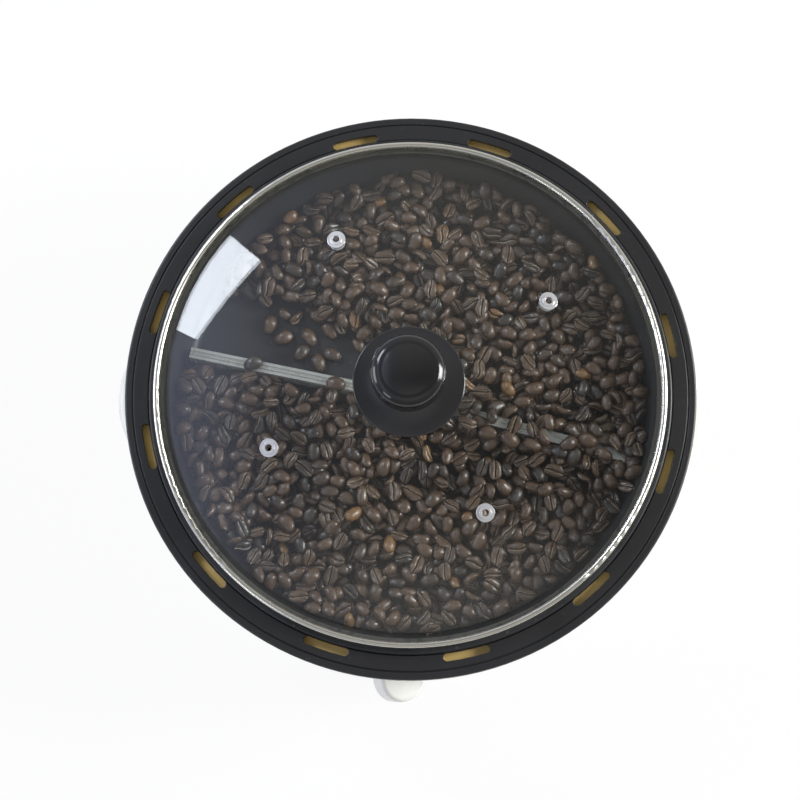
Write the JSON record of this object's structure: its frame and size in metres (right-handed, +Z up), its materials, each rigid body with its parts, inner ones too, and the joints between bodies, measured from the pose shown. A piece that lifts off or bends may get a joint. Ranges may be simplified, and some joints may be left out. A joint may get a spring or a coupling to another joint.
{
  "type": "home coffee bean roaster",
  "caption": "Round countertop coffee bean roaster with a motor-driven stirring bar under a lift-off domed glass lid, side grips and a front temperature dial.",
  "frame": {"origin": "centre of the footprint on the counter, on the stirring shaft's axis", "axes": "+Z up along the stirring shaft, -Y towards the front with the temperature dial, +X to the user's right"},
  "size_m": [0.326, 0.32, 0.172],
  "materials": {
    "clear_glass": "clear tempered glass",
    "polished_steel": "polished stainless steel",
    "chrome_trim": "bright chrome",
    "black_phenolic": "glossy black phenolic",
    "screw_steel": "zinc-plated steel",
    "silicone_seal": "silicone washer",
    "ring_enamel": "satin-gloss black enamel",
    "pan_coating": "dark non-stick coating",
    "gland_brass": "turned brass",
    "stainless_bar": "drawn stainless steel",
    "element_steel": "heat-darkened steel",
    "zinc_sheet": "galvanised sheet",
    "white_ceramic": "unglazed white ceramic or moulded insulator",
    "gold_chromate": "yellow-chromated sheet",
    "copper_tube": "copper",
    "white_body": "glossy white",
    "white_knob": "glossy white",
    "base_paint": "grey painted steel",
    "black_rubber": "black rubber",
    "gear_plastic": "moulded gear plastic",
    "magnet_dark": "magnet and shaft",
    "scale_plate": "brushed aluminium with tick marks",
    "amber_lens": "amber lens",
    "black_plastic": "moulded black",
    "wire_silicone": "red silicone sleeve",
    "roasted_beans": null
  },
  "bodies": {
    "base": {"top_ring": "ring_enamel", "ring_screws": "screw_steel", "roasting_pan": "pan_coating", "pan_bush": "gland_brass", "bush_nut": "screw_steel", "heating_element": "element_steel", "element_clips": "zinc_sheet", "thermal_cutout": "white_ceramic", "heat_shield": "gold_chromate", "sensor_tube": "copper_tube", "body_shell": "white_body", "left_grip": "white_body", "right_grip": "white_body", "grip_screws": "screw_steel", "base_plate": "base_paint", "base_screws": "screw_steel", "rubber_feet": "black_rubber", "foot_screws": "screw_steel", "gearbox_lower_plate": "zinc_sheet", "gearbox_upper_plate": "zinc_sheet", "gearbox_pillars": "zinc_sheet", "shaft_bushes": "gland_brass", "idler_axle": "screw_steel", "motor_can": "zinc_sheet", "motor_stator": "element_steel", "motor_coil": "copper_tube", "control_panel": "white_body", "dial_plate": "scale_plate", "thermostat": "white_ceramic", "thermostat_nut": "screw_steel", "indicator_lens": "amber_lens", "switch_frame": "black_plastic", "inlet_housing": "white_body", "power_inlet": "black_plastic", "inlet_pins": "gland_brass", "inlet_screws": "screw_steel", "terminal_block": "white_ceramic", "wiring": "wire_silicone"},
    "lid": {"lid_glass": "clear_glass", "lid_band": "polished_steel", "vent_eyelets": "chrome_trim", "knob_saucer": "black_phenolic", "lid_knob": "black_phenolic", "knob_screw": "screw_steel", "knob_washers": "silicone_seal"},
    "stirrer": {"stir_bar": "stainless_bar", "cap_nut": "polished_steel", "stir_shaft": "stainless_bar", "shaft_clip": "screw_steel", "output_gear": "gear_plastic"},
    "idler": {"idler_gear": "gear_plastic"},
    "rotor": {"motor_pinion": "gland_brass", "motor_rotor": "magnet_dark"},
    "dial": {"temperature_dial": "white_knob", "dial_spindle": "screw_steel"},
    "rocker": {"switch_rocker": "black_plastic"}
  },
  "joints": [
    {"name": "lid_lift", "type": "slide", "parent": "base", "child": "lid", "axis": [0, 0, 1], "range_m": [0, 0.12]},
    {"name": "stirrer_spin", "type": "hinge", "parent": "base", "child": "stirrer", "pos_m": [0, 0, 0.09], "axis": [0, 0, 1], "continuous": true},
    {"name": "idler_spin", "type": "hinge", "parent": "base", "child": "idler", "pos_m": [-0.036, 0, 0.04], "axis": [0, 0, 1], "continuous": true},
    {"name": "rotor_spin", "type": "hinge", "parent": "base", "child": "rotor", "pos_m": [-0.054, -0.03118, 0.03], "axis": [0, 0, 1], "continuous": true},
    {"name": "dial_turn", "type": "hinge", "parent": "base", "child": "dial", "pos_m": [0, -0.141, 0.039], "axis": [0, 1, 0], "range_deg": [-30, 240]},
    {"name": "switch_rock", "type": "hinge", "parent": "base", "child": "rocker", "pos_m": [0.029, -0.139, 0.039], "axis": [1, 0, 0], "range_deg": [-12, 0]}
  ],
  "couplings": [
    {"joint": "idler_spin", "follows": "stirrer_spin", "ratio": -4},
    {"joint": "rotor_spin", "follows": "stirrer_spin", "ratio": 16}
  ]
}
